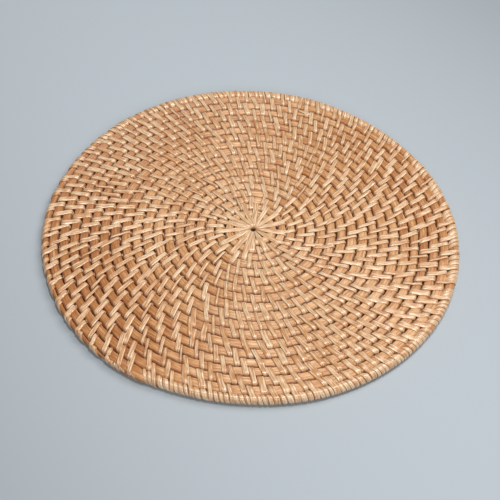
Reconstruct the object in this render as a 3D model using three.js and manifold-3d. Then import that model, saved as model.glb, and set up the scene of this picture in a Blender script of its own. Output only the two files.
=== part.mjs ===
// Round placemat of coiled rattan, lying flat. Millimetres, +Z up.
// The origin is under the middle of the mat, on the surface that it lies on.
// One flattened core is wound in a flat spiral from a small hole, and each row is
// bound to the row before it. The rows show as lands between shallow spiral grooves.

import * as THREE from "three";
import { mergeVertices } from "three/addons/utils/BufferGeometryUtils.js";
import Module from "manifold-3d";

// ---- driving dimensions ---------------------------------------------------------
const THICKNESS = 8; // core and binder together
const HOLE_RADIUS = 1.6; // the eye that the coil starts around
const EYE = { x: 1.0, y: -0.6 }; // the eye is a little off the middle of the mat
const FIRST_TURN = -2.85; // where the groove between the first rows begins
const END_ANGLE_DEG = 244; // the coil's end tapers out at the rim here
const END_TURN = 16; // whole turns from turn 0 to the coil's end
const TAPER_DEG = 16; // the stretch in which the last groove runs out to the rim
const TAPER_OUT = 3.2; // how far it runs out
const TOP_GROOVE = { halfWidth: 1.25, depth: 1.7, steps: 390 };
const UNDER_GROOVE = { halfWidth: 1.0, depth: 1.3, steps: 300 };
const RIM = { round: 2.7, height: 3.2, segments: 3 }; // the rounding of the rim
const OUTLINE_STEPS = 90;
const HOLE_SIDES = 14;

// The rim's radius from the origin, as uneven as a hand-wound mat: it swells where the
// coil's end lies over the row before it, and steps in just past that end.
const OUTLINE = [
  { angleDeg: 0, radius: 149.8 },
  { angleDeg: 20, radius: 148.9 },
  { angleDeg: 45, radius: 147.6 },
  { angleDeg: 60, radius: 148.2 },
  { angleDeg: 76, radius: 149.7 },
  { angleDeg: 92, radius: 149.9 },
  { angleDeg: 112, radius: 149.9 },
  { angleDeg: 130, radius: 149.5 },
  { angleDeg: 145, radius: 148.8 },
  { angleDeg: 160, radius: 148.5 },
  { angleDeg: 180, radius: 149.8 },
  { angleDeg: 200, radius: 150.8 },
  { angleDeg: 220, radius: 152.2 },
  { angleDeg: 232, radius: 152.9 },
  { angleDeg: 241, radius: 152.6 },
  { angleDeg: 249, radius: 150.7 },
  { angleDeg: 258, radius: 150.0 },
  { angleDeg: 270, radius: 149.8 },
  { angleDeg: 290, radius: 150.8 },
  { angleDeg: 310, radius: 151.0 },
  { angleDeg: 330, radius: 150.8 },
  { angleDeg: 350, radius: 150.2 },
];

// The groove between the rows, as the coil moves out: its radius from the eye at the
// start of each turn. The rows of a hand-wound mat are 6.5 to 8 mm wide.
const TURNS = [
  { turn: -3, radius: 3.2 },
  { turn: -2, radius: 10.4 },
  { turn: -1, radius: 17.6 },
  { turn: 0, radius: 24.2 },
  { turn: 1, radius: 31.0 },
  { turn: 2, radius: 38.2 },
  { turn: 3, radius: 45.4 },
  { turn: 4, radius: 53.1 },
  { turn: 5, radius: 60.5 },
  { turn: 6, radius: 67.9 },
  { turn: 7, radius: 75.8 },
  { turn: 8, radius: 83.6 },
  { turn: 9, radius: 90.8 },
  { turn: 10, radius: 98.8 },
  { turn: 11, radius: 106.3 },
  { turn: 12, radius: 113.8 },
  { turn: 13, radius: 120.5 },
  { turn: 14, radius: 127.5 },
  { turn: 15, radius: 135.0 },
  { turn: 16, radius: 142.1 },
  { turn: 17, radius: 148.9 },
];

// The rows are not quite round: how far a row of 145 mm radius stands out from its
// turn at each angle. Smaller rows do so in proportion.
const SWELL = [
  { angleDeg: 0, out: -1.3 },
  { angleDeg: 30, out: -3.0 },
  { angleDeg: 60, out: -2.7 },
  { angleDeg: 90, out: -2.1 },
  { angleDeg: 120, out: -1.9 },
  { angleDeg: 150, out: -2.0 },
  { angleDeg: 180, out: -0.6 },
  { angleDeg: 210, out: 2.0 },
  { angleDeg: 240, out: 4.3 },
  { angleDeg: 270, out: 3.6 },
  { angleDeg: 300, out: 2.6 },
  { angleDeg: 330, out: 1.1 },
];
const SWELL_AT = 145;

const rad = (deg) => (deg * Math.PI) / 180;
const ease = (t) => t * t * (3 - 2 * t);

// A value at an angle, eased from one row of a table to the next, all the way round.
function around(table, key, angleDeg) {
  const a = ((angleDeg % 360) + 360) % 360;
  for (let i = 0; i < table.length; i += 1) {
    const from = table[i];
    const to = table[(i + 1) % table.length];
    const end = to.angleDeg > from.angleDeg ? to.angleDeg : to.angleDeg + 360;
    if (a >= from.angleDeg && a <= end) {
      const t = ease((a - from.angleDeg) / (end - from.angleDeg));
      return from[key] + (to[key] - from[key]) * t;
    }
  }
  return table[0][key];
}

const rimRadius = (angleDeg) => around(OUTLINE, "radius", angleDeg);

// The groove's radius from the eye after a number of turns.
function grooveRadius(turns) {
  const first = TURNS[0].turn;
  const i = Math.min(Math.max(Math.floor(turns - first), 0), TURNS.length - 2);
  const t = turns - first - i;
  const r = TURNS[i].radius + (TURNS[i + 1].radius - TURNS[i].radius) * t;
  return r + (around(SWELL, "out", turns * 360) * r) / SWELL_AT;
}

// ---- helpers for joining and cutting --------------------------------------------
const wasm = await Module();
wasm.setup();

function toSolid(geometry) {
  const bare = geometry.clone();
  bare.deleteAttribute("normal");
  bare.deleteAttribute("uv");
  const merged = mergeVertices(bare, 1e-4);
  return new wasm.Manifold(
    new wasm.Mesh({
      numProp: 3,
      vertProperties: new Float32Array(merged.attributes.position.array),
      triVerts: new Uint32Array(merged.index.array),
    }),
  );
}

function toGeometry(solid) {
  const mesh = solid.getMesh();
  const geometry = new THREE.BufferGeometry();
  geometry.setAttribute("position", new THREE.BufferAttribute(mesh.vertProperties, 3));
  geometry.setIndex(new THREE.BufferAttribute(mesh.triVerts, 1));
  const flat = geometry.toNonIndexed();
  flat.computeVertexNormals();
  return flat;
}

// ---- the disc: its outline, with a rounded rim ----------------------------------
function discGeometry() {
  const outline = [];
  for (let i = 0; i < OUTLINE_STEPS; i += 1) {
    const deg = (360 * i) / OUTLINE_STEPS;
    const r = rimRadius(deg);
    outline.push(new THREE.Vector2(r * Math.cos(rad(deg)), r * Math.sin(rad(deg))));
  }
  const disc = new THREE.ExtrudeGeometry(new THREE.Shape(outline), {
    depth: THICKNESS - 2 * RIM.height,
    steps: 1,
    bevelEnabled: true,
    bevelThickness: RIM.height,
    bevelSize: RIM.round,
    bevelOffset: -RIM.round,
    bevelSegments: RIM.segments,
  });
  disc.translate(0, 0, RIM.height);
  return disc;
}

// ---- the groove between the rows: one flat spiral -------------------------------
// The steps are shorter in degrees on the long outer turns, so that every chord
// stays about as close to the spiral.
class GrooveSpiral extends THREE.Curve {
  constructor(height) {
    super();
    this.height = height;
    this.lastTurn = END_TURN + END_ANGLE_DEG / 360;
    this.start = FIRST_TURN - TURNS[0].turn + 0.4; // turns counted from the eye
    this.end = this.lastTurn - TURNS[0].turn + 0.4;
  }

  getUtoTmapping(u) {
    return u;
  }

  getPoint(t, target = new THREE.Vector3()) {
    const from = this.start ** 1.5;
    const to = this.end ** 1.5;
    const turns = (from + (to - from) * t) ** (2 / 3) + TURNS[0].turn - 0.4;
    const left = (this.lastTurn - turns) * 360;
    const out = left < TAPER_DEG ? TAPER_OUT * ease(1 - Math.max(0, left) / TAPER_DEG) : 0;
    const r = grooveRadius(turns) + out;
    const angle = turns * 2 * Math.PI;
    return target.set(
      EYE.x + r * Math.cos(angle),
      EYE.y + r * Math.sin(angle),
      this.height,
    );
  }
}

// A V cut along the spiral. Its section's first axis points down, so a positive depth
// cuts into the top and a negative one into the underside.
function grooveGeometry(height, groove, side) {
  const over = 0.8; // it starts this far outside the face that it cuts
  const wide = (groove.halfWidth * (groove.depth + over)) / groove.depth;
  const section = new THREE.Shape([
    new THREE.Vector2(side * groove.depth, 0),
    new THREE.Vector2(-side * over, wide),
    new THREE.Vector2(-side * over, -wide),
  ]);
  return new THREE.ExtrudeGeometry(section, {
    steps: groove.steps,
    bevelEnabled: false,
    extrudePath: new GrooveSpiral(height),
  });
}

// ---- the eye in the middle ------------------------------------------------------
function eyeGeometry() {
  const eye = new THREE.CylinderGeometry(HOLE_RADIUS, HOLE_RADIUS, THICKNESS + 2, HOLE_SIDES);
  eye.rotateX(Math.PI / 2);
  eye.translate(EYE.x, EYE.y, THICKNESS / 2);
  return eye;
}

// ---- the mat --------------------------------------------------------------------
const mat = toSolid(discGeometry())
  .subtract(toSolid(grooveGeometry(THICKNESS, TOP_GROOVE, 1)))
  .subtract(toSolid(grooveGeometry(0, UNDER_GROOVE, -1)))
  .subtract(toSolid(eyeGeometry()));

const rattan = new THREE.MeshStandardMaterial({
  color: new THREE.Color(0.78, 0.57, 0.36),
  roughness: 0.5,
  metalness: 0,
});

const coiledMat = new THREE.Mesh(toGeometry(mat), rattan);
coiledMat.name = "coiled_mat";

const placemat = new THREE.Group();
placemat.add(coiledMat);

export default placemat;
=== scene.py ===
import math

import bpy
import numpy as np
from mathutils import Matrix


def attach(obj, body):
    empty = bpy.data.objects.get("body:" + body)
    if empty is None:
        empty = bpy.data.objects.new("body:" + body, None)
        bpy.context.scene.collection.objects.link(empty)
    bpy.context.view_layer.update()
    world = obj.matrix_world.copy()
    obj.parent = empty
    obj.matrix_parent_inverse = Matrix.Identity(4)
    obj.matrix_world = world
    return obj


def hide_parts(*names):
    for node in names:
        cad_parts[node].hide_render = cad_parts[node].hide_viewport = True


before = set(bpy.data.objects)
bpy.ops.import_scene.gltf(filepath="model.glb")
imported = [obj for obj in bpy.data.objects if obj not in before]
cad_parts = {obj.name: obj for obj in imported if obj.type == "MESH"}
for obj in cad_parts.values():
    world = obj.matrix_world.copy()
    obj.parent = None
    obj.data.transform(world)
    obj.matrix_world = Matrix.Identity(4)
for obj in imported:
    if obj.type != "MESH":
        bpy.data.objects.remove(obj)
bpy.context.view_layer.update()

MM = 0.001
rng = np.random.default_rng(20)

# ---------------------------------------------------------------- sizes shared with the CAD
THICKNESS = 8.0
HOLE_RADIUS = 1.6
EYE = np.array([1.0, -0.6])
END_TURN = 16 + 244 / 360
TAPER = 16 / 360
TAPER_OUT = 3.2

OUTLINE = [
    (0, 149.8), (20, 148.9), (45, 147.6), (60, 148.2), (76, 149.7), (92, 149.9),
    (112, 149.9), (130, 149.5), (145, 148.8), (160, 148.5), (180, 149.8), (200, 150.8),
    (220, 152.2), (232, 152.9), (241, 152.6), (249, 150.7), (258, 150.0), (270, 149.8),
    (290, 150.8), (310, 151.0), (330, 150.8), (350, 150.2),
]
TURNS = [
    3.2, 10.4, 17.6, 24.2, 31.0, 38.2, 45.4, 53.1, 60.5, 67.9, 75.8, 83.6, 90.8, 98.8,
    106.3, 113.8, 120.5, 127.5, 135.0, 142.1, 148.9,
]
FIRST_TABLE_TURN = -3
SWELL = [
    (0, -1.3), (30, -3.0), (60, -2.7), (90, -2.1), (120, -1.9), (150, -2.0), (180, -0.6),
    (210, 2.0), (240, 4.3), (270, 3.6), (300, 2.6), (330, 1.1),
]
SWELL_AT = 145.0

# ---------------------------------------------------------------- sizes of the basketry
ROW_GAP = 0.08  # between two rows of core, at their middle height
CORE_LOW, CORE_HIGH = 0.86, 7.30
RIM_LOWER = 0.30  # the rim row is this much lower on both faces, for the thicker wraps
SINK = 0.10  # how far a strip presses into the core
SQUEEZE = 0.85  # how far the core gives way beside a strip that dives between rows
CORE_START = -1.95  # the turn at which the core starts, under the petals round the eye
RIM_COVER = 0.85  # the wraps outside the core at the rim
PEEL = 0.74  # thickness of a binder strip
STEP = 2.5  # length of a facet of the core

# Stitches in each eighth of a turn, as the coil moves out. The first row starts at the
# turn -0.25, the next at turn 0, and so on.
STITCHES = [
    [2.2, 1.6],
    [1.8, 1.9, 2.2, 2.0, 2.0, 2.0, 1.8, 1.6],
    [1.7, 2.3, 2.1, 2.1, 1.9, 2.3, 3.0, 2.4],
    [2.5, 2.7, 2.7, 2.4, 2.7, 3.0, 3.0, 2.7],
    [2.5, 3.0, 3.5, 3.0, 2.7, 3.2, 2.9, 3.3],
    [3.5, 3.5, 3.4, 3.6, 3.8, 3.3, 3.5, 4.1],
    [4.2, 3.1, 4.4, 4.2, 3.6, 4.6, 4.4, 3.9],
    [4.4, 3.9, 4.3, 4.4, 4.5, 4.5, 4.6, 4.1],
    [4.1, 4.8, 5.3, 5.0, 5.2, 5.1, 5.6, 5.1],
    [5.7, 5.6, 5.2, 4.9, 5.9, 5.4, 5.6, 6.2],
    [5.8, 5.7, 6.1, 4.8, 5.8, 6.3, 5.9, 6.0],
    [5.9, 5.5, 6.0, 6.0, 5.9, 6.8, 6.5, 5.9],
    [6.1, 6.4, 6.8, 7.3, 6.8, 6.4, 6.7, 6.8],
    [6.0, 7.3, 7.2, 7.4, 6.7, 6.7, 7.5, 6.5],
    [6.8, 7.8, 7.1, 7.3, 6.9, 6.6, 7.6, 7.8],
    [7.4, 7.7, 8.2, 7.6, 7.8, 8.5, 8.4, 7.9],
    [7.6, 7.6, 8.0, 7.6, 7.8, 8.5, 8.4, 7.8],
    [7.8, 7.6, 8.0, 7.6, 7.9, 6.8],
]
# How far a stitch moves round for each millimetre that it moves out, on rows of 50 mm
# radius and on rows of 130 mm: the hand that wound the mat pulled harder on one side.
SLANT_INNER = [
    (22, 0.43), (67, 0.28), (112, 0.15), (157, 0.19), (202, 0.33), (247, 0.27), (292, 0.20),
    (337, 0.28),
]
SLANT_OUTER = [
    (22, 0.47), (67, 0.27), (112, 0.20), (157, 0.22), (202, 0.47), (247, 0.45), (292, 0.30),
    (337, 0.42),
]

# The width of a stitch on the outer rows, in mm: the peel gets wider towards the end of
# the coil on one side.
WIDTH_OUTER = [
    (22, 3.8), (67, 3.45), (112, 3.75), (157, 4.0), (202, 3.7), (247, 3.55), (292, 4.5),
    (337, 4.3),
]
WIDTH_INNER = 3.4

# The petals round the eye: the angle of the outer end, counted on past a whole turn, the
# width there, and how far short of its groove the end seems to stop.
PETALS = [
    (270, 4.3, 1.2), (297, 4.4, 0.8), (326, 4.0, 0.8), (353, 4.3, 0.4), (379, 4.0, 0.2),
    (403, 3.8, 0.2), (426, 3.6, 0.6), (448, 3.7, 0.0), (470, 3.6, 0.2), (489, 3.4, 1.2),
    (511, 3.8, 1.8), (528, 3.8, 0.8), (551, 3.6, 0.6), (577, 3.9, 0.6), (600, 4.0, 1.0),
    (619, 4.0, 0.4),
]


def ease(t):
    return t * t * (3 - 2 * t)


def around(table, deg):
    """A value at each angle, eased from one row of a table to the next, all the way round."""
    a = np.array([row[0] for row in table], float)
    v = np.array([row[1] for row in table], float)
    a = np.append(a, a[0] + 360)
    v = np.append(v, v[0])
    d = (np.asarray(deg, float) - a[0]) % 360 + a[0]
    i = np.clip(np.searchsorted(a, d, side="right") - 1, 0, len(a) - 2)
    t = ease((d - a[i]) / (a[i + 1] - a[i]))
    return v[i] + (v[i + 1] - v[i]) * t


def groove(turns):
    """Radius, from the eye, of the groove between rows."""
    turns = np.asarray(turns, float)
    r = np.interp(turns, np.arange(len(TURNS)) + FIRST_TABLE_TURN, TURNS)
    r = r + around(SWELL, turns * 360) * r / SWELL_AT
    left = np.clip((END_TURN - turns) / TAPER, 0, 1)
    return r + np.where(turns <= END_TURN, TAPER_OUT * ease(1 - left), 0)


def rim(turns):
    """Radius of the outline, from the eye, in the direction of this turn."""
    th = np.asarray(turns, float) * 2 * np.pi
    u = np.stack([np.cos(th), np.sin(th)], -1)
    rho = np.full(th.shape, 150.0)
    for _ in range(3):
        p = EYE + rho[..., None] * u
        want = around(OUTLINE, np.degrees(np.arctan2(p[..., 1], p[..., 0])))
        rho = rho + want - np.hypot(p[..., 0], p[..., 1])
    return rho


def edge(turns):
    """The outer edge of the row whose outer groove is at this turn, or the rim."""
    turns = np.asarray(turns, float)
    g = np.minimum(groove(np.minimum(turns, END_TURN)), rim(turns))
    return np.where(turns <= END_TURN, g, rim(turns))


def is_rim(turns):
    return np.asarray(turns) > END_TURN


def row(turns):
    """Middle radius, half width and half height of the core in the row of this turn."""
    turns = np.asarray(turns, float)
    inner = edge(turns - 1) + ROW_GAP / 2
    outer = edge(turns) - np.where(is_rim(turns), RIM_COVER, ROW_GAP / 2)
    half = np.maximum((outer - inner) / 2, 0.55)
    high = (CORE_HIGH - CORE_LOW) / 2
    # the tip of the coil is pared thin
    high = (high - RIM_LOWER * np.clip((turns - END_TURN) / 0.04 + 0.5, 0, 1))
    high = high * np.clip(0.35 + half / 3.0, 0.35, 1.0)
    mid = np.where(is_rim(turns), outer - half, (inner + outer) / 2)
    return mid, half, high


MID_Z = (CORE_LOW + CORE_HIGH) / 2
BLUNT_ROW, BLUNT_RIM = 3.3, 2.0  # exponent of the section: rows are pressed flat, the rim isn't


def blunt(turns):
    """The exponent of the core's rounded section in the row of this turn."""
    t = np.clip((np.asarray(turns, float) - END_TURN) / 0.04 + 0.5, 0, 1)
    return BLUNT_ROW + (BLUNT_RIM - BLUNT_ROW) * ease(t)


def on_core(psi_deg, turns, off):
    """A point of a row's outline, moved out: psi is 90 on top, 0 outside, 180 inside."""
    _, half, high = row(turns)
    power = 2 / blunt(turns)
    psi = np.radians(np.asarray(psi_deg, float))
    c, s = np.cos(psi), np.sin(psi)
    x = np.sign(c) * np.abs(c) ** power * (half + off)
    z = np.sign(s) * np.abs(s) ** power * (high + off)
    return x, z


# ---------------------------------------------------------------- mesh building
class Tubes:
    """Gathers many closed tubes in one mesh, each with its own place in the bake atlas."""

    def __init__(self, name):
        self.name = name
        self.co, self.faces, self.uv = [], [], []
        self.grain, self.tone, self.side, self.painted_shade = [], [], [], []
        self.islands = []
        self.count = 0

    def tube(self, rings, along, around_mm, side, tone, seed, painted_shade=None, split=None):
        """rings is (stations, around, 3). split cuts the island every so many stations."""
        n, m = rings.shape[:2]
        base = self.count
        self.co.append(rings.reshape(-1, 3))
        g = np.empty((n, m, 3))
        g[..., 0] = along[:, None]
        g[..., 1] = around_mm[None, :m] if around_mm.ndim == 1 else around_mm[:, :m]
        g[..., 2] = seed
        self.grain.append(g.reshape(-1, 3))
        self.side.append(np.broadcast_to(side[None, :], (n, m)).reshape(-1))
        t = np.asarray(tone, float)
        self.tone.append(np.broadcast_to(t if t.ndim == 0 else t[:, None], (n, m)).reshape(-1))
        d = np.zeros((n, m)) if painted_shade is None else painted_shade
        self.painted_shade.append(d.reshape(-1))
        i = np.arange(n - 1)[:, None]
        j = np.arange(m)[None, :]
        jn = (j + 1) % m
        quads = np.stack([
            base + i * m + j, base + i * m + jn, base + (i + 1) * m + jn, base + (i + 1) * m + j,
        ], -1).reshape(-1, 4)
        ring_pos = around_mm if around_mm.ndim == 1 else around_mm[0]  # m + 1 places
        a0 = np.broadcast_to(along[:-1, None], (n - 1, m))
        a1 = np.broadcast_to(along[1:, None], (n - 1, m))
        b0 = np.broadcast_to(ring_pos[None, :m], (n - 1, m))
        b1 = np.broadcast_to(ring_pos[None, 1:], (n - 1, m))
        uv = np.stack([
            np.stack([a0, b0], -1), np.stack([a0, b1], -1),
            np.stack([a1, b1], -1), np.stack([a1, b0], -1),
        ], -2)  # (n-1, m, 4, 2)
        size = split or (n - 1)
        for s in range(0, n - 1, size):
            e = min(s + size, n - 1)
            part = uv[s:e].reshape(-1, 4, 2).copy()
            part[..., 0] -= along[s]
            part[..., 1] -= ring_pos[0]
            self.faces.append(quads[s * m:e * m])
            self.islands.append((part, along[e] - along[s], ring_pos[-1] - ring_pos[0]))
        for end in (0, n - 1):  # the caps
            cap = base + end * m + np.arange(m)
            if end == 0:
                cap = cap[::-1]
            ang = np.linspace(0, 2 * np.pi, m, endpoint=False)
            spot = np.stack([0.5 + 0.45 * np.cos(ang), 0.5 + 0.45 * np.sin(ang)], -1)
            self.faces.append(cap[None, :])
            self.islands.append((spot[None], 1.0, 1.0))
        self.count += n * m

    def make(self, material):
        co = np.concatenate(self.co) * MM
        me = bpy.data.meshes.new(self.name)
        loops = np.concatenate([f.reshape(-1) for f in self.faces])
        sizes = np.concatenate([np.full(len(f), f.shape[1]) for f in self.faces])
        starts = np.concatenate([[0], np.cumsum(sizes)[:-1]])
        me.vertices.add(len(co))
        me.vertices.foreach_set("co", co.astype(np.float32).ravel())
        me.loops.add(len(loops))
        me.loops.foreach_set("vertex_index", loops.astype(np.int32))
        me.polygons.add(len(sizes))
        me.polygons.foreach_set("loop_start", starts.astype(np.int32))
        me.polygons.foreach_set("loop_total", sizes.astype(np.int32))
        me.update(calc_edges=True)
        me.polygons.foreach_set("use_smooth", np.ones(len(sizes), dtype=bool))
        # shelves: the islands, tallest first, in rows of about the same length
        gap = 0.6
        order = sorted(range(len(self.islands)), key=lambda k: (-round(self.islands[k][2], 1), k))
        area = sum((w + gap) * (h + gap) for _, w, h in self.islands)
        wide = max(math.sqrt(area) * 1.02, max(w for _, w, _ in self.islands) + 2 * gap)
        x = y = gap
        shelf = 0.0
        placed = [None] * len(self.islands)
        for k in order:
            uv, w, h = self.islands[k]
            if x + w + gap > wide:
                x, y, shelf = gap, y + shelf + gap, 0.0
            placed[k] = uv + np.array([x, y])
            x += w + gap
            shelf = max(shelf, h)
        full = max(wide, y + shelf + gap)
        flat = np.concatenate([p.reshape(-1, 2) for p in placed]) / full
        layer = me.uv_layers.new(name="OFBake")
        layer.data.foreach_set("uv", flat.astype(np.float32).ravel())
        for key, data in (("tone", self.tone), ("side", self.side), ("painted_shade", self.painted_shade)):
            at = me.attributes.new(key, "FLOAT", "POINT")
            at.data.foreach_set("value", np.concatenate(data).astype(np.float32))
        at = me.attributes.new("grain", "FLOAT_VECTOR", "POINT")
        at.data.foreach_set("vector", np.concatenate(self.grain).astype(np.float32).ravel())
        me.validate(verbose=False)
        me.materials.append(material)
        ob = bpy.data.objects.new(self.name, me)
        bpy.context.scene.collection.objects.link(ob)
        return ob


def polar(r, th, z):
    return np.stack([EYE[0] + r * np.cos(th), EYE[1] + r * np.sin(th), z], -1)


# the section of a binder strip: across in half widths, height in thicknesses
FACE = np.array([
    (-1.0, 0.16), (-0.82, 0.62), (-0.42, 0.92), (0.0, 1.0), (0.42, 0.92), (0.82, 0.62),
    (1.0, 0.16), (0.80, 0.0), (-0.80, 0.0),
])
FACE_TWIN = np.array([  # a strip that has creased along its middle
    (-1.0, 0.16), (-0.80, 0.72), (-0.44, 1.02), (0.04, 0.62), (0.46, 1.04), (0.82, 0.70),
    (1.0, 0.16), (0.80, 0.0), (-0.80, 0.0),
])
FACE_WRAP = np.array([  # a wrap round the rim, bent tight
    (-1.0, 0.06), (-0.84, 0.50), (-0.44, 0.88), (0.0, 1.0), (0.44, 0.88), (0.84, 0.50),
    (1.0, 0.06), (0.80, 0.0), (-0.80, 0.0),
])
FACE_UNDER = np.array([
    (-1.0, 0.16), (-0.84, 0.66), (-0.40, 0.94), (0.40, 0.94), (0.84, 0.66), (1.0, 0.16), (0.7, 0.0),
    (-0.7, 0.0),
])


def lay_strip(tubes, r, z, th, width, tone, seed, face=FACE, thick=PEEL, painted_eye_shade=None):
    """A strip along a path given by radius, height and angle; its face is up or outside."""
    p = polar(r, th, z)
    n = len(r)
    t = np.gradient(p, axis=0)
    t /= np.linalg.norm(t, axis=1)[:, None]
    # the face looks along the normal of the path in the plane of radius and height
    dr, dz = np.gradient(r), np.gradient(z)
    ln = np.hypot(dr, dz)
    nr, nz = -dz / ln, dr / ln
    ur = np.stack([np.cos(th), np.sin(th), np.zeros(n)], -1)
    normal = nr[:, None] * ur + nz[:, None] * np.array([0, 0, 1.0])
    across = np.cross(t, normal)
    across /= np.linalg.norm(across, axis=1)[:, None]
    normal = np.cross(across, t)
    w = np.broadcast_to(width, (n,))
    rings = (
        p[:, None, :]
        + across[:, None, :] * (face[None, :, 0] * w[:, None] / 2)[..., None]
        + normal[:, None, :] * (face[None, :, 1] * thick)[None, :, None].reshape(1, -1, 1)
    )
    along = np.concatenate([[0], np.cumsum(np.linalg.norm(np.diff(p, axis=0), axis=1))])
    mean = float(np.mean(w))
    pts = np.stack([face[:, 0] * mean / 2, face[:, 1] * thick], -1)
    seg = np.linalg.norm(np.diff(np.vstack([pts, pts[:1]]), axis=0), axis=1)
    ring_pos = np.concatenate([[0], np.cumsum(seg)])
    painted_shade = None if painted_eye_shade is None else np.repeat(painted_eye_shade[:, None], len(face), axis=1)
    tubes.tube(rings, along, ring_pos, face[:, 0], tone, seed, painted_shade)


# ---------------------------------------------------------------- where the stitches are
counts = [c for part in STITCHES for c in part]
knots = -0.25 + np.arange(len(counts) + 1) / 8
total = np.concatenate([[0], np.cumsum(counts)]) - 0.1
number = int(math.floor(total[-1]))
at = np.interp(np.arange(number) + 0.5, total, knots)
at = at[at < END_TURN - 3 / 360]
number = len(at)
far_out = np.clip((groove(at) - 50) / 80, -0.2, 1.1)
slope = around(SLANT_INNER, at * 360) * (1 - far_out) + around(SLANT_OUTER, at * 360) * far_out
slope = slope * np.clip(0.45 + 0.2 * (at + 0.25), 0.4, 1.0)
slope = slope + rng.normal(0, 0.07, number)
width = WIDTH_INNER * (1 - far_out) + around(WIDTH_OUTER, at * 360) * far_out
# one length of peel makes some dozens of stitches of about the same width and tone
peel_of = np.cumsum(rng.random(number) < 1 / 40)
peel_width = rng.normal(1.0, 0.07, peel_of[-1] + 1)
peel_tone = rng.normal(0.45, 0.18, peel_of[-1] + 1)
tone = peel_tone[peel_of]
width = np.clip(width * peel_width[peel_of] * rng.normal(1.0, 0.11, number), 2.3, 5.3)
thin = rng.random(number) < 0.05
width[thin] = rng.uniform(1.5, 2.3, thin.sum())

# Rows are laid like bricks: a stitch crosses its groove about midway between the crossings
# on both sides, and its ends dive beside them, so they are eased off them.
petal_at = np.array([p[0] / 360 - 1 for p in PETALS])
petal_width = np.array([p[1] for p in PETALS])
base_slope = slope.copy()
for _ in range(12):
    every = np.concatenate([petal_at - 1, at])
    wide = np.concatenate([petal_width, width])
    order = np.argsort(every)
    every, wide = every[order], wide[order]
    push = np.zeros(number)
    lean = np.zeros(number)
    for sign in (-1, 1):
        r_mid, r_end = groove(at), edge(at + sign)
        mm = 2 * np.pi * r_end
        ok = at + sign < END_TURN
        j = np.clip(np.searchsorted(every, at + sign), 1, len(every) - 1)
        off_mid = (every[j] + every[j - 1]) / 2 - (at + sign)
        push += np.where(ok, 0.1 * np.clip(off_mid * mm, -3, 3), 0)
        end = at + sign + slope * (r_end - r_mid) / r_mid / (2 * np.pi)
        j = np.clip(np.searchsorted(every, end), 1, len(every) - 1)
        before = (end - every[j - 1]) * mm - (wide[j - 1] + width) / 2
        after = (every[j] - end) * mm - (wide[j] + width) / 2
        want = 0.1
        move = np.where(before < want, want - before, 0) - np.where(after < want, want - after, 0)
        move = np.where(ok, 0.2 * np.clip(move, -1.5, 1.5), 0)
        push += move
        lean += sign * move
    at = at + 0.5 * push / (2 * np.pi * groove(at))
    slope = np.clip(slope + 0.35 * lean / 7.0, base_slope - 0.10, base_slope + 0.10)
    order = np.argsort(at)
    at, slope, width, base_slope = at[order], slope[order], width[order], base_slope[order]

# On the outer rows the peel and the core change in tone from side to side, partly in their own colour
# and partly as painted light and shade that evens out how the lamps fall across the mat: a higher
# tone of the peel is browner, a lower tone of the core is darker.
PEEL_TONE_AND_SHADE_OUTER = [(0, 0.32), (45, 0.30), (90, -0.22), (135, -0.40), (180, 0.12), (225, 0.48),
              (270, 0.34), (315, 0.22)]
CORE_TONE_AND_SHADE_OUTER = [(0, 0.55), (45, 0.25), (90, 0.30), (135, 1.15), (180, 1.35), (225, 0.75),
              (270, 0.05), (315, 0.0)]
far_out = np.clip((groove(at) - 70) / 60, 0, 1)
tone = tone + 0.10 * (1 - far_out) + around(PEEL_TONE_AND_SHADE_OUTER, at * 360) * far_out
tone = tone + rng.normal(0, 0.22, number)
tone = np.clip(tone, 0.0, 1.0)

UP = np.array([-16.0, 6.0, 24.0, 40.0, 56.0, 73.0, 90.0])
PINCH = np.array([0.60, 0.74, 0.88, 0.96, 1.0, 1.0, 1.0])
MIDDLE = np.array([0.25, 0.5, 0.75])


def over_two(turns, slant, dip, off, short=0.0):
    """The path of a stitch over the rows on both sides of its groove."""
    m1, a1, b1 = row(turns)
    m2, a2, b2 = row(turns + 1)
    x1, z1 = on_core(180 - UP, turns, off)
    x2, z2 = on_core(UP[::-1], turns + 1, off)
    free = 0.0 if turns > END_TURN - 1 else 1.0
    x1 = x1 + SQUEEZE * np.clip(-x1 / a1, 0, 1) ** 3
    x2 = x2 - free * SQUEEZE * np.clip(x2 / a2, 0, 1) ** 3
    z1, z2 = z1 - SINK * np.clip(z1 / b1, 0, 1) ** 4, z2 - SINK * np.clip(z2 / b2, 0, 1) ** 4
    top1, top2 = MID_Z + b1 + off - SINK, MID_Z + b2 + off - SINK
    rm = m1 + (m2 - m1) * MIDDLE
    zm = top1 + (top2 - top1) * MIDDLE - dip * np.sin(np.pi * MIDDLE) ** 2
    r = np.concatenate([m1 + x1, rm, m2 + x2])
    z = np.concatenate([MID_Z + z1, zm, MID_Z + z2])
    mid = groove(turns)
    th = turns * 2 * np.pi + slant * (r - mid) / mid
    pinch = np.concatenate([PINCH, [1.0, 0.98, 1.0], PINCH[::-1]])
    return r, z, th, pinch


# ---------------------------------------------------------------- materials
ANISO_TURN = 0.25  # the sheen spreads across the fibres


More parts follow.
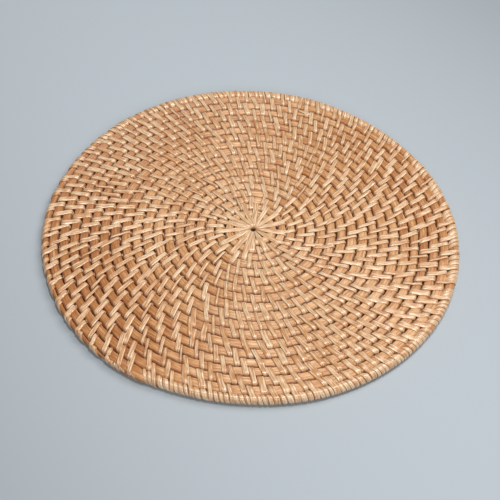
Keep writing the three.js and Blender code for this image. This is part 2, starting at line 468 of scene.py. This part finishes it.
class Nodes:
    """A short way to write node trees."""

    def __init__(self, name):
        self.mat = bpy.data.materials.new(name)
        self.mat.use_nodes = True
        self.tree = self.mat.node_tree
        self.tree.nodes.clear()
        self.out = self.tree.nodes.new("ShaderNodeOutputMaterial")
        self.shader = self.tree.nodes.new("ShaderNodeBsdfPrincipled")
        self.tree.links.new(self.shader.outputs[0], self.out.inputs[0])

    def put(self, socket, value):
        if isinstance(value, bpy.types.NodeSocket):
            self.tree.links.new(value, socket)
        elif value is not None:
            socket.default_value = value

    def attr(self, name, vector=False):
        n = self.tree.nodes.new("ShaderNodeAttribute")
        n.attribute_name = name
        return n.outputs["Vector" if vector else "Fac"]

    def math(self, op, a, b=None, c=None, clamp=False):
        n = self.tree.nodes.new("ShaderNodeMath")
        n.operation = op
        n.use_clamp = clamp
        for s, v in zip(n.inputs, (a, b, c)):
            self.put(s, v)
        return n.outputs[0]

    def split(self, v):
        n = self.tree.nodes.new("ShaderNodeSeparateXYZ")
        self.put(n.inputs[0], v)
        return n.outputs

    def join(self, x, y, z):
        n = self.tree.nodes.new("ShaderNodeCombineXYZ")
        for s, v in zip(n.inputs, (x, y, z)):
            self.put(s, v)
        return n.outputs[0]

    def noise(self, vector, scale=1.0, detail=2.0, rough=0.5, warp=0.0):
        n = self.tree.nodes.new("ShaderNodeTexNoise")
        self.put(n.inputs["Vector"], vector)
        n.inputs["Scale"].default_value = scale
        n.inputs["Detail"].default_value = detail
        n.inputs["Roughness"].default_value = rough
        n.inputs["Distortion"].default_value = warp
        return n.outputs["Fac"]

    def ramp(self, fac, stops):
        n = self.tree.nodes.new("ShaderNodeValToRGB")
        self.put(n.inputs[0], fac)
        el = n.color_ramp.elements
        while len(el) < len(stops):
            el.new(0.5)
        for e, (pos, col) in zip(el, stops):
            e.position = pos
            e.color = (*col, 1.0) if len(col) == 3 else col
        return n.outputs[0]

    def mix(self, fac, a, b, kind="MIX"):
        n = self.tree.nodes.new("ShaderNodeMix")
        n.data_type = "RGBA"
        n.blend_type = kind
        self.put(n.inputs[0], fac)
        for s, v in ((n.inputs[6], a), (n.inputs[7], b)):
            self.put(s, (*v, 1.0) if isinstance(v, tuple) and len(v) == 3 else v)
        return n.outputs[2]

    def span(self, v, a, b, c, d):
        n = self.tree.nodes.new("ShaderNodeMapRange")
        n.clamp = True
        for s, x in zip(n.inputs, (v, a, b, c, d)):
            self.put(s, x)
        return n.outputs[0]

    def tangent(self):
        """Along the strip or strand: the first axis of the bake atlas."""
        n = self.tree.nodes.new("ShaderNodeTangent")
        n.direction_type = "UV_MAP"
        n.uv_map = "OFBake"
        return n.outputs[0]

    def bump(self, height, strength, distance, normal=None):
        n = self.tree.nodes.new("ShaderNodeBump")
        n.inputs["Strength"].default_value = strength
        n.inputs["Distance"].default_value = distance
        self.put(n.inputs["Height"], height)
        if normal is not None:
            self.put(n.inputs["Normal"], normal)
        return n.outputs[0]


def peel_material():
    g = Nodes("rattan_peel")
    along, _, seed = g.split(g.attr("grain", True))
    side = g.attr("side")
    toned = g.attr("tone")
    far = g.math("MULTIPLY", seed, 37.0)
    fine = g.noise(g.join(g.math("MULTIPLY", along, 0.10), g.math("MULTIPLY", side, 4.6), far),
                   1.0, 3.0, 0.62)
    streak = g.noise(g.join(g.math("MULTIPLY", along, 0.11), g.math("MULTIPLY", side, 1.9), far),
                     1.0, 1.0, 0.5)
    blotch = g.noise(g.join(g.math("MULTIPLY", along, 0.42), g.math("MULTIPLY", side, 0.9), far),
                     1.0, 2.0, 0.5)
    base = g.ramp(toned, [
        (0.0, (0.86, 0.620, 0.395)), (0.40, (0.80, 0.535, 0.308)), (0.70, (0.72, 0.430, 0.220)),
        (1.0, (0.615, 0.310, 0.130)),
    ])
    pale = g.span(streak, 0.49, 0.60, 0.0, 0.85)
    col = g.mix(pale, base, (0.93, 0.745, 0.520))
    dark = g.span(streak, 0.48, 0.37, 0.0, 0.60)
    col = g.mix(dark, col, (0.50, 0.215, 0.070))
    lines = g.span(fine, 0.50, 0.63, 0.0, 0.80)
    col = g.mix(lines, col, (0.43, 0.165, 0.046))
    warm = g.span(blotch, 0.52, 0.75, 0.0, 0.35)
    col = g.mix(warm, col, (0.62, 0.31, 0.125))
    # the sides of each strip are darker: partly the peel's own brown edge, partly painted shade where
    # the strip meets the core
    edge_brown_and_shade = g.span(g.math("ABSOLUTE", side), 0.74, 1.0, 0.0, 0.6)
    col = g.mix(edge_brown_and_shade, col, (0.38, 0.135, 0.035))
    # painted shade inside the eye: brown, and dark further down
    painted_shade = g.attr("painted_shade")
    col = g.mix(g.span(painted_shade, 0.0, 0.4, 0.0, 0.85), col, (0.42, 0.150, 0.040))
    col = g.mix(g.span(painted_shade, 0.5, 1.0, 0.0, 1.0), col, (0.030, 0.008, 0.003))
    g.put(g.shader.inputs["Base Color"], col)
    g.put(g.shader.inputs["Roughness"], g.span(fine, 0.3, 0.75, 0.42, 0.55))
    g.shader.inputs["IOR"].default_value = 1.62
    g.shader.inputs["Specular IOR Level"].default_value = 1.0
    g.shader.inputs["Specular Tint"].default_value = (1.0, 0.87, 0.72, 1.0)
    g.shader.inputs["Anisotropic"].default_value = 0.90
    g.shader.inputs["Anisotropic Rotation"].default_value = ANISO_TURN
    g.put(g.shader.inputs["Tangent"], g.tangent())
    g.shader.inputs["Coat Weight"].default_value = 0.85
    g.shader.inputs["Coat Roughness"].default_value = 0.21
    h = g.math("ADD", g.math("MULTIPLY", fine, -0.6), g.math("MULTIPLY", streak, 0.8))
    g.put(g.shader.inputs["Normal"], g.bump(h, 0.6, 0.0004))
    return g.mat


def core_material():
    g = Nodes("rattan_core")
    along, around_mm, seed = g.split(g.attr("grain", True))
    painted_shade = g.attr("painted_shade")
    toned = g.attr("tone")
    fibre = g.noise(g.join(g.math("MULTIPLY", along, 0.09),
                           g.math("MULTIPLY", around_mm, 0.95), seed), 1.0, 4.0, 0.70, 0.3)
    strand = g.noise(g.join(g.math("MULTIPLY", along, 0.02),
                            g.math("MULTIPLY", around_mm, 0.75), seed), 1.0, 2.0, 0.5)
    patch = g.noise(g.join(g.math("MULTIPLY", along, 0.085),
                           g.math("MULTIPLY", around_mm, 0.16), seed), 1.0, 2.0, 0.5)
    mixed = g.math("ADD", g.math("MULTIPLY", patch, 1.9), g.math("MULTIPLY", strand, 0.8))
    mixed = g.math("ADD", mixed, g.math("MULTIPLY", toned, 0.7))
    mixed = g.span(mixed, 1.12, 2.26, 0.0, 1.0)
    base = g.ramp(mixed, [
        (0.0, (0.50, 0.190, 0.052)), (0.30, (0.66, 0.305, 0.108)), (0.6, (0.77, 0.415, 0.178)),
        (1.0, (0.93, 0.610, 0.345)),
    ])
    lines = g.span(fibre, 0.50, 0.64, 0.0, 0.85)
    col = g.mix(lines, base, (0.36, 0.115, 0.028))
    pale = g.span(fibre, 0.46, 0.32, 0.0, 0.60)
    col = g.mix(pale, col, (0.92, 0.59, 0.31))
    # painted shade in the grooves, furrows and crevices of the coil and beside the strips
    col = g.mix(g.math("MULTIPLY", painted_shade, 0.84), col, (0.20, 0.046, 0.008))
    g.put(g.shader.inputs["Base Color"], col)
    rough = g.math("ADD", g.span(fibre, 0.3, 0.7, 0.46, 0.62), g.math("MULTIPLY", painted_shade, 0.25))
    g.put(g.shader.inputs["Roughness"], rough)
    g.shader.inputs["IOR"].default_value = 1.9
    g.shader.inputs["Specular IOR Level"].default_value = 1.0
    g.shader.inputs["Specular Tint"].default_value = (1.0, 0.83, 0.66, 1.0)
    g.shader.inputs["Anisotropic"].default_value = 0.90
    g.shader.inputs["Anisotropic Rotation"].default_value = ANISO_TURN
    g.put(g.shader.inputs["Tangent"], g.tangent())
    h = g.math("ADD", g.math("MULTIPLY", fibre, -0.8), g.math("MULTIPLY", strand, 0.8))
    g.put(g.shader.inputs["Normal"], g.bump(h, 0.7, 0.0004))
    return g.mat


def floor_material():
    g = Nodes("studio_floor")
    n = g.tree.nodes.new("ShaderNodeTexCoord")
    soft = g.noise(n.outputs["Object"], 3.0, 3.0, 0.5)
    col = g.mix(soft, (0.432, 0.490, 0.542), (0.444, 0.502, 0.552))
    # the backdrop isn't lit evenly: two of its corners are a little darker
    x, y, _ = g.split(n.outputs["Object"])
    x = g.math("MINIMUM", g.math("MAXIMUM", g.math("MULTIPLY", x, 5.0), -1.5), 1.5)
    y = g.math("MINIMUM", g.math("MAXIMUM", g.math("MULTIPLY", y, 5.0), -1.5), 1.5)
    lit = g.math("ADD", g.math("MULTIPLY", x, 0.013), g.math("MULTIPLY", y, 0.023))
    lit = g.math("ADD", lit, g.math("MULTIPLY", g.math("MULTIPLY", x, y), -0.102))
    lit = g.math("ADD", lit, g.math("MULTIPLY", g.math("MULTIPLY", x, x), -0.079))
    lit = g.math("ADD", lit, g.math("MULTIPLY", g.math("MULTIPLY", y, y), -0.045))
    lit = g.math("ADD", lit, 1.033)
    col = g.mix(1.0, col, g.join(lit, lit, lit), "MULTIPLY")
    g.put(g.shader.inputs["Base Color"], col)
    g.put(g.shader.inputs["Roughness"], g.span(soft, 0.3, 0.7, 0.78, 0.86))
    g.shader.inputs["Specular IOR Level"].default_value = 0.25
    g.put(g.shader.inputs["Normal"],
          g.bump(g.noise(n.outputs["Object"], 260.0, 2.0, 0.5), 0.05, 0.0004))
    return g.mat


peel = peel_material()
core_mat = core_material()

# ---------------------------------------------------------------- the core
last = END_TURN + 1
centre_in = at + slope * (row(at)[0] - groove(at)) / groove(at) / (2 * np.pi)
centre_out = at + 1 + slope * (row(at + 1)[0] - groove(at)) / groove(at) / (2 * np.pi)
centres = np.concatenate([centre_in, centre_out])
centre_slant = np.concatenate([slope, slope])
order = np.argsort(centres)
centres, centre_slant = centres[order], centre_slant[order]
inside = (centres > CORE_START + 0.05) & (centres < last - 0.004)
centres, centre_slant = centres[inside], centre_slant[inside]
ends = np.concatenate([[CORE_START], centres, [last]])
stations = []
for a, b in zip(ends[:-1], ends[1:]):
    span = (b - a) * 2 * math.pi * max(float(row(a)[0]), 6.0)
    n = max(1, int(round(span / STEP)))
    if span > 0.5:
        stations.extend(a + (b - a) * np.arange(n) / n)
st = np.array(stations + [last])
mid, half, high = row(st)
length = np.concatenate([[0], np.cumsum(np.diff(st) * 2 * np.pi * (mid[1:] + mid[:-1]) / 2)])
# where the section's corners are: close together over the furrows between the strands
TOP_X = np.array([1.0, 0.985, 0.93, 0.80, 0.62, 0.46, 0.36, 0.26, 0.0])
ring_x = np.concatenate([TOP_X, -TOP_X[:-1][::-1], [-0.93, -0.5, 0.0, 0.5, 0.93]])
top_n = 2 * len(TOP_X) - 1
m = len(ring_x)


def slow(x, period, lead):
    """A smooth, fixed wander along the coil."""
    return (
        np.sin(x / period * 2 * np.pi + lead)
        + 0.6 * np.sin(x / period * 2 * np.pi * 1.73 + 2.1 * lead)
        + 0.35 * np.sin(x / period * 2 * np.pi * 3.11 + 3.7 * lead)
    ) / 1.95


def pressed(turns, places, reach):
    """How near the closest of some places along the spiral is: 1 there, 0 further away."""
    j = np.clip(np.searchsorted(places, turns), 1, len(places) - 1)
    d = np.minimum(np.abs(places[j] - turns), np.abs(turns - places[j - 1]))
    return np.exp(-((d * 2 * np.pi * groove(turns) / reach) ** 2))


lie_in = np.sort(at - 1 + slope * (edge(at - 1) - groove(at)) / groove(at) / (2 * np.pi))
lie_out = np.sort(at + 1 + slope * (edge(at + 1) - groove(at)) / groove(at) / (2 * np.pi))
# the groove on each side of the core: ends dive there from the stitches of both neighbours
press_outer = np.maximum(pressed(st, lie_in, 2.9), pressed(st, lie_out, 2.9))
press_inner = np.maximum(pressed(st - 1, lie_in, 2.9), pressed(st - 1, lie_out, 2.9))
shear = np.interp(st, centres, centre_slant)
beside = pressed(st, centres, 1.9)
rings = np.empty((len(st), m, 3))
# painted_shade is painted shade: a dark colour put into the furrows, along the edges of each row by
# its grooves, on the underside, where stitches dive, and beside each strip
painted_shade = np.zeros((len(st), m))
furrow = np.clip(0.26 + 0.26 * slow(length, 90, 0.4), 0.0, 0.52)
shift = 0.12 * slow(length, 210, 1.9)
lift = 0.10 * slow(length, 47, 0.7)
power = blunt(st)
for j in range(m):
    x = ring_x[j]
    over = np.clip(1 - abs(x) ** power, 0, 1) ** (1 / power)
    upper = j < top_n
    z = over * high * (1 if upper else -1)
    xx = np.full(len(st), x)
    if upper and 0.3 < abs(x) < 0.5:
        xx = x + shift
        near = abs(abs(x) - 0.36) < 0.02
        if near:
            z = z - furrow
            painted_shade[:, j] = np.clip(furrow / 0.6, 0, 0.8)
    if upper and abs(x) < 0.99:
        z = z + (lift + 0.10 - 0.34 * beside) * (1 - x ** 4)
    if upper and abs(x) > 0.9:
        painted_shade[:, j] = 0.7 if abs(x) > 0.95 else 0.12
    if not upper or abs(x) > 0.98:
        painted_shade[:, j] = np.maximum(painted_shade[:, j], 0.25)
    tight = press_outer * (st < END_TURN) if x > 0 else press_inner
    press = tight * abs(x) ** 3 * (0.10 if abs(x) > 0.99 else SQUEEZE if upper else 0.0)
    painted_shade[:, j] = np.maximum(painted_shade[:, j], np.clip(1.1 * tight * abs(x) ** 8, 0, 1))
    if upper:
        painted_shade[:, j] = np.maximum(painted_shade[:, j], 0.9 * beside)
    rings[:, j, :] = polar(mid + xx * half - np.sign(x) * press,
                           st * 2 * np.pi + shear * xx * half / mid, MID_Z + z)
pts = np.stack([ring_x * 3.0, np.where(np.arange(m) < top_n, 1, -1)
                * np.clip(1 - np.abs(ring_x) ** BLUNT_ROW, 0, 1) ** (1 / BLUNT_ROW) * 3.2], -1)
seg = np.linalg.norm(np.diff(np.vstack([pts, pts[:1]]), axis=0), axis=1)
ring_pos = np.concatenate([[0], np.cumsum(seg)])
core = Tubes("coil_core")
# the core's tone is lowered on the outer rows by side: partly its own colour, partly painted shade,
# darkest on the left and back-left
core_tone = (0.5 + 0.35 * slow(length, 610, 0.2) + 0.18 * np.clip((95 - mid) / 50, 0, 1)
             - around(CORE_TONE_AND_SHADE_OUTER, st * 360) * np.clip((mid - 80) / 45, 0, 1))
core.tube(rings[:, ::-1], length, ring_pos, ring_x[::-1], core_tone, 3.7, painted_shade[:, ::-1], split=160)
coil_core = core.make(core_mat)

# ---------------------------------------------------------------- stitches, top and underside
OFF = 0.04
inner_top = Tubes("binder_inner")
outer_top = Tubes("binder_outer")
under = Tubes("binder_under")
rim_wraps = Tubes("rim_binding")


def end_angle(turns, slant, sign):
    r_mid, r_end = groove(turns), edge(turns + sign)
    return turns * 2 * np.pi + slant * (r_end - r_mid) / r_mid


DOWN = np.array([90.0, 73.0, 56.0, 40.0, 24.0, 6.0, -10.0, -26.0, -42.0, -58.0, -74.0, -90.0])
first_rim = END_TURN - 1
rim_list = []
for i in range(number):
    t = at[i]
    face = FACE_TWIN if rng.random() < 0.42 else FACE
    dip = float(np.clip(rng.normal(0.30, 0.10), 0.05, 0.55))
    r, z, th, pinch = over_two(t, slope[i], dip, OFF)
    nxt = at[i + 1] if i + 1 < number else t + (t - at[i - 1])
    nslope = slope[i + 1] if i + 1 < number else slope[i]
    th_out = end_angle(t, slope[i], 1)
    th_in_next = end_angle(nxt, nslope, -1)
    seed = i * 0.173
    if t < first_rim:
        tubes = inner_top if t < 10.5 else outer_top
        lay_strip(tubes, r, z, th, width[i] * pinch, tone[i], seed, face)
        # back underneath, from the outer groove to the inner end of the next stitch
        rr, zz = r[::-1], 2 * MID_Z - z[::-1]
        s = (rr[0] - rr) / (rr[0] - rr[-1])
        tt = th_out + (th_in_next - th_out) * s
        keep = np.array([0, 1, 2, 3, 4, 6, 8, 10, 12, 13, 14, 15, 16])
        lay_strip(under, rr[keep], zz[keep], tt[keep], (width[i] * pinch[::-1])[keep], tone[i],
                  seed + 0.05, FACE_UNDER)
    else:
        rim_list.append((t, slope[i], width[i], tone[i], th_out))
        m1, a1, b1 = row(t)
        m2, a2, b2 = row(t + 1)
        xs, zs = on_core(DOWN, t + 1, OFF)
        top = len(UP) + len(MIDDLE)
        rr = np.concatenate([r[:top], m2 + xs, (m1 + (m2 - m1) * MIDDLE)[::-1]])
        zs = zs + 0.04 * np.clip(-zs / b2, 0, 1) ** 4
        zlow1, zlow2 = MID_Z - b1 - OFF + 0.04, MID_Z - b2 - OFF + 0.04
        zz = np.concatenate([z[:top], MID_Z + zs,
                             (zlow1 + (zlow2 - zlow1) * MIDDLE)[::-1]
                             + dip * np.sin(np.pi * MIDDLE) ** 2])
        xu, zu = on_core(180 + UP[::-1], t, OFF)
        zu = zu + 0.04 * np.clip(-zu / b1, 0, 1) ** 4
        rr = np.concatenate([rr, m1 + xu])
        zz = np.concatenate([zz, MID_Z + zu])
        side_at, turn_at = top + 6, top + 10
        gone = np.concatenate([[0], np.cumsum(np.hypot(np.diff(rr), np.diff(zz)))])
        r_mid = groove(t)
        down = th_out + slope[i] * (gone[turn_at] - gone[side_at]) / rr[side_at]
        tt = np.interp(gone, [gone[side_at], gone[turn_at], gone[-1]], [th_out, down, th_in_next])
        over = np.arange(len(rr)) <= side_at
        tt = np.where(over, t * 2 * np.pi + slope[i] * (rr - r_mid) / r_mid, tt)
        w = np.concatenate([pinch[:top], np.ones(len(rr) - top - len(UP)), PINCH[::-1]])
        for _ in range(2):
            tt[1:-1] = (tt[:-2] + 2 * tt[1:-1] + tt[2:]) / 4
        lay_strip(rim_wraps, rr, zz, tt, width[i] * w, tone[i], seed, face)

# a loose end of peel near the far edge: it lies along the row between two stitches
deg = np.array([72.3, 72.6, 73.2, 74.0, 75.0, 76.0, 76.7, 77.0])
loose_r = groove(15 + 74.5 / 360) - 4.6 + np.linspace(0.0, 1.6, len(deg))
loose_z = MID_Z + row(15 + 74.5 / 360)[2] + np.array([-0.5, 0.05, 0.22, 0.24, 0.24, 0.22, 0.08, -0.4])
lay_strip(outer_top, loose_r, loose_z, np.radians(deg), 2.4, 0.0, 77.0, thick=0.65)

# ---------------------------------------------------------------- short wraps round the rim
# The share of the places, between two long stitches, where one wrap is missing and the core
# shows; how far apart the wraps are; how much more they slant than the stitches; their tone.
BARE = [(20, 0.85), (55, 0.35), (80, 0.0), (120, 0.1), (150, 0.5), (185, 0.8), (225, 0.8),
        (243, 0.0), (315, 0.0), (335, 0.25), (350, 0.7)]
APART = [(20, 4.4), (60, 4.2), (100, 4.4), (140, 4.6), (170, 5.2), (235, 5.0), (246, 3.9),
         (320, 3.9), (350, 4.2)]
MORE_SLANT = [(20, 0.1), (60, 0.05), (120, 0.1), (160, 0.35), (235, 0.45), (248, 0.05),
              (320, 0.0), (350, 0.1)]
WRAP_TONE = [(20, 0.25), (60, 0.55), (100, 0.6), (140, 0.7), (170, 0.95), (235, 0.85), (248, 0.25),
             (300, 0.15), (330, 0.45), (350, 0.35)]
LOOP = np.array([196.0, 176.0, 158.0, 142.0, 126.0, 108.0, 90.0, 72.0, 54.0, 38.0, 20.0, 0.0,
                 -20.0, -38.0, -56.0, -73.0, -90.0, -107.0, -124.0, -140.0, -156.0, -172.0])
tip = (END_TURN - 0.004) * 2 * np.pi
rim_list.insert(0, (first_rim, 0.4, 0.0, 0.5, (first_rim + 0.0012) * 2 * np.pi))
rim_list.append((END_TURN, 0.3, 0.0, 0.5, tip))
for k in range(len(rim_list) - 1):
    t0, s0, w0, tone0, out0 = rim_list[k]
    t1, s1, w1, tone1, out1 = rim_list[k + 1]
    if out1 - out0 < 0.01:
        continue
    r_out = float(rim(np.array(out0 / (2 * np.pi))))
    room = (out1 - out0) * r_out - (w0 + w1) / 2
    deg = float(np.degrees((out0 + out1) / 2) % 360)
    fits = max(1, int(round(room / float(around(APART, deg)))))
    bare = rng.random() < float(around(BARE, deg)) and room > 7
    each = room / fits
    skip = int(rng.integers(0, fits)) if bare else -1
    for q in range(fits):
        if q == skip:
            continue
        c = out0 + ((w0 / 2 + each * (q + 0.5)) / r_out)
        t = c / (2 * np.pi)
        m2, a2, b2 = row(t + 1)
        xs, zs = on_core(LOOP, t + 1, OFF - 0.06)
        lean = (s0 + s1) / 2 + float(around(MORE_SLANT, deg)) + rng.normal(0, 0.05)
        rr = m2 + xs
        gone = np.concatenate([[0], np.cumsum(np.hypot(np.diff(rr), np.diff(zs)))])
        low = 15
        start, bottom = lean * (gone[11] - gone[2]), lean * (gone[low] - gone[11])
        tt = c + np.interp(gone, [gone[2], gone[11], gone[low], gone[-1]],
                           [-start, 0, bottom, each - start]) / r_out
        for _ in range(2):
            tt[1:-1] = (tt[:-2] + 2 * tt[1:-1] + tt[2:]) / 4
        wide = min(each * rng.uniform(0.82, 1.02), 4.2)
        shade = float(around(WRAP_TONE, deg)) + (-0.15, 0.15)[(q + k) % 2] + rng.normal(0, 0.14)
        lay_strip(rim_wraps, rr, MID_Z + zs, tt, wide, float(np.clip(shade, 0, 1)),
                  900 + k * 0.31 + q * 0.07, FACE_TWIN if rng.random() < 0.25 else FACE_WRAP,
                  thick=0.92 * rng.uniform(0.85, 1.0))

# ---------------------------------------------------------------- petals round the eye
petals = Tubes("centre_petals")
n_petals = len(PETALS)
for k, (deg, wide, short) in enumerate(PETALS):
    t_out = deg / 360 - 1
    m2, a2, b2 = row(t_out)
    x2, z2 = on_core(UP[::-1], t_out, OFF)
    r_top = m2
    outer_r = m2 + x2 - short
    outer_z = MID_Z + z2
    inner_r = np.array([2.31, 2.38, 2.7, 3.4, 4.4, 6.0, 8.0, 10.5, 13.0, 15.5])
    inner_r = inner_r[inner_r < outer_r[0] - 1.0]
    inner_z = np.interp(inner_r, [2.31, 2.38, 2.7, 3.4, 4.4, 7.0, 40.0],
                        [MID_Z, 5.2, 6.2, 6.8, 7.02, 7.15, 7.2])
    r = np.concatenate([inner_r, outer_r])
    z = np.concatenate([inner_z, outer_z])
    wide = wide * 1.10
    far = 2 * np.pi * r / n_petals * 1.14
    w = np.minimum(wide, far)
    w = np.minimum(w, wide * np.interp(r, [0, 6, 14], [0.6, 0.9, 1.0]))
    w[-7:] *= PINCH[::-1]
    prev_deg = PETALS[k - 1][0] - (360 if k == 0 else 0)
    th_end = math.radians(deg)
    # the petals share the eye out evenly, and lean a little to reach their ends
    th_eye = math.radians(270 + (k + 0.1) * 360 / n_petals)
    th_eye = th_end + (th_eye - th_end) * 0.65
    s = np.clip((r - 1.5) / (r[-1] - 1.5), 0, 1)
    th = th_eye + (th_end - th_eye) * np.clip(s * 3.0, 0, 1)
    z = z + 0.10 * ((k * 7) % 5 - 2) / 2 * np.exp(-((r - 5) / 4) ** 2)
    # each petal comes from the underside, up through the eye, and out over the top
    r, th, w = (np.concatenate([v[:0:-1], v]) for v in (r, th, w))
    z = np.concatenate([2 * MID_Z - z[:0:-1], z])
    # painted shade on the petals inside the eye: brown near the top and bottom of the hole, near
    # black at its middle height
    painted_eye_shade = np.interp(z, [1.3, 2.0, 3.0, 4.4, 5.4, 6.3], [0.0, 0.4, 1.0, 0.75, 0.40, 0.0])
    painted_eye_shade[r > 4.0] = 0.0
    lay_strip(petals, r, z, th, w, float(np.clip(rng.normal(0.42, 0.1), 0, 1)), 500 + k * 1.7,
              FACE_TWIN if k % 3 != 1 else FACE, painted_eye_shade=painted_eye_shade)

pieces = [coil_core, inner_top.make(peel), outer_top.make(peel), under.make(peel),
          rim_wraps.make(peel), petals.make(peel)]
for ob in pieces:
    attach(ob, "root")
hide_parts("coiled_mat")

# ---------------------------------------------------------------- studio
floor = bpy.data.meshes.new("studio_floor")
floor.from_pydata([(-4, -3, 0), (4, -3, 0), (4, 5, 0), (-4, 5, 0)], [], [(0, 1, 2, 3)])
floor.materials.append(floor_material())
floor_ob = bpy.data.objects.new("studio_floor", floor)
bpy.context.scene.collection.objects.link(floor_ob)
floor_ob.location.z = -0.0002

world = bpy.data.worlds.new("studio")
world.use_nodes = True
world.node_tree.nodes["Background"].inputs[0].default_value = (1.0, 0.985, 0.96, 1.0)
world.node_tree.nodes["Background"].inputs[1].default_value = 0.23
bpy.context.scene.world = world


def area_light(name, place, target, size, watts, colour=(1, 1, 1)):
    data = bpy.data.lights.new(name, "AREA")
    data.shape = "RECTANGLE"
    data.size, data.size_y = size
    data.energy = watts
    data.color = colour
    ob = bpy.data.objects.new(name, data)
    from mathutils import Vector
    way = Vector(target) - Vector(place)
    ob.matrix_world = Matrix.Translation(place) @ way.to_track_quat("-Z", "Y").to_matrix().to_4x4()
    bpy.context.scene.collection.objects.link(ob)
    return ob


area_light("key", (0.75, 0.45, 1.35), (0, 0, 0), (0.9, 0.9), 12.3, (1.0, 0.97, 0.93))
area_light("top", (0.10, -0.14, 1.6), (0, 0, 0), (0.26, 0.26), 10.5, (1.0, 0.98, 0.96))
area_light("fill", (0.25, -1.35, 0.95), (0, 0, 0), (0.9, 0.7), 8.0, (1.0, 0.98, 0.96))

scene = bpy.context.scene
scene.view_settings.view_transform = "Standard"
scene.view_settings.look = "None"
scene.view_settings.exposure = 0.0
scene.view_settings.gamma = 1.0

# ---------------------------------------------------------------- camera
ELEV, ROLL, FOCAL_PX = math.radians(48.70), math.radians(3.34), 1238.3
PLACE = (-0.390, -599.83, 665.63)
cam = bpy.data.cameras.new("camera")
cam.sensor_width = 36.0
cam.sensor_fit = "HORIZONTAL"
cam.lens = FOCAL_PX * 36.0 / 500.0
cam.clip_start, cam.clip_end = 0.05, 20.0
right = np.array([1.0, 0.0, 0.0])
up = np.array([0.0, math.sin(ELEV), math.cos(ELEV)])
forward = np.array([0.0, math.cos(ELEV), -math.sin(ELEV)])
r2 = right * math.cos(ROLL) + up * math.sin(ROLL)
u2 = -right * math.sin(ROLL) + up * math.cos(ROLL)
cam_ob = bpy.data.objects.new("camera", cam)
cam_ob.matrix_world = Matrix([
    [*[float(v) for v in (r2[i], u2[i], -forward[i])], PLACE[i] * MM] for i in range(3)
] + [[0, 0, 0, 1]])
scene.collection.objects.link(cam_ob)
scene.camera = cam_ob
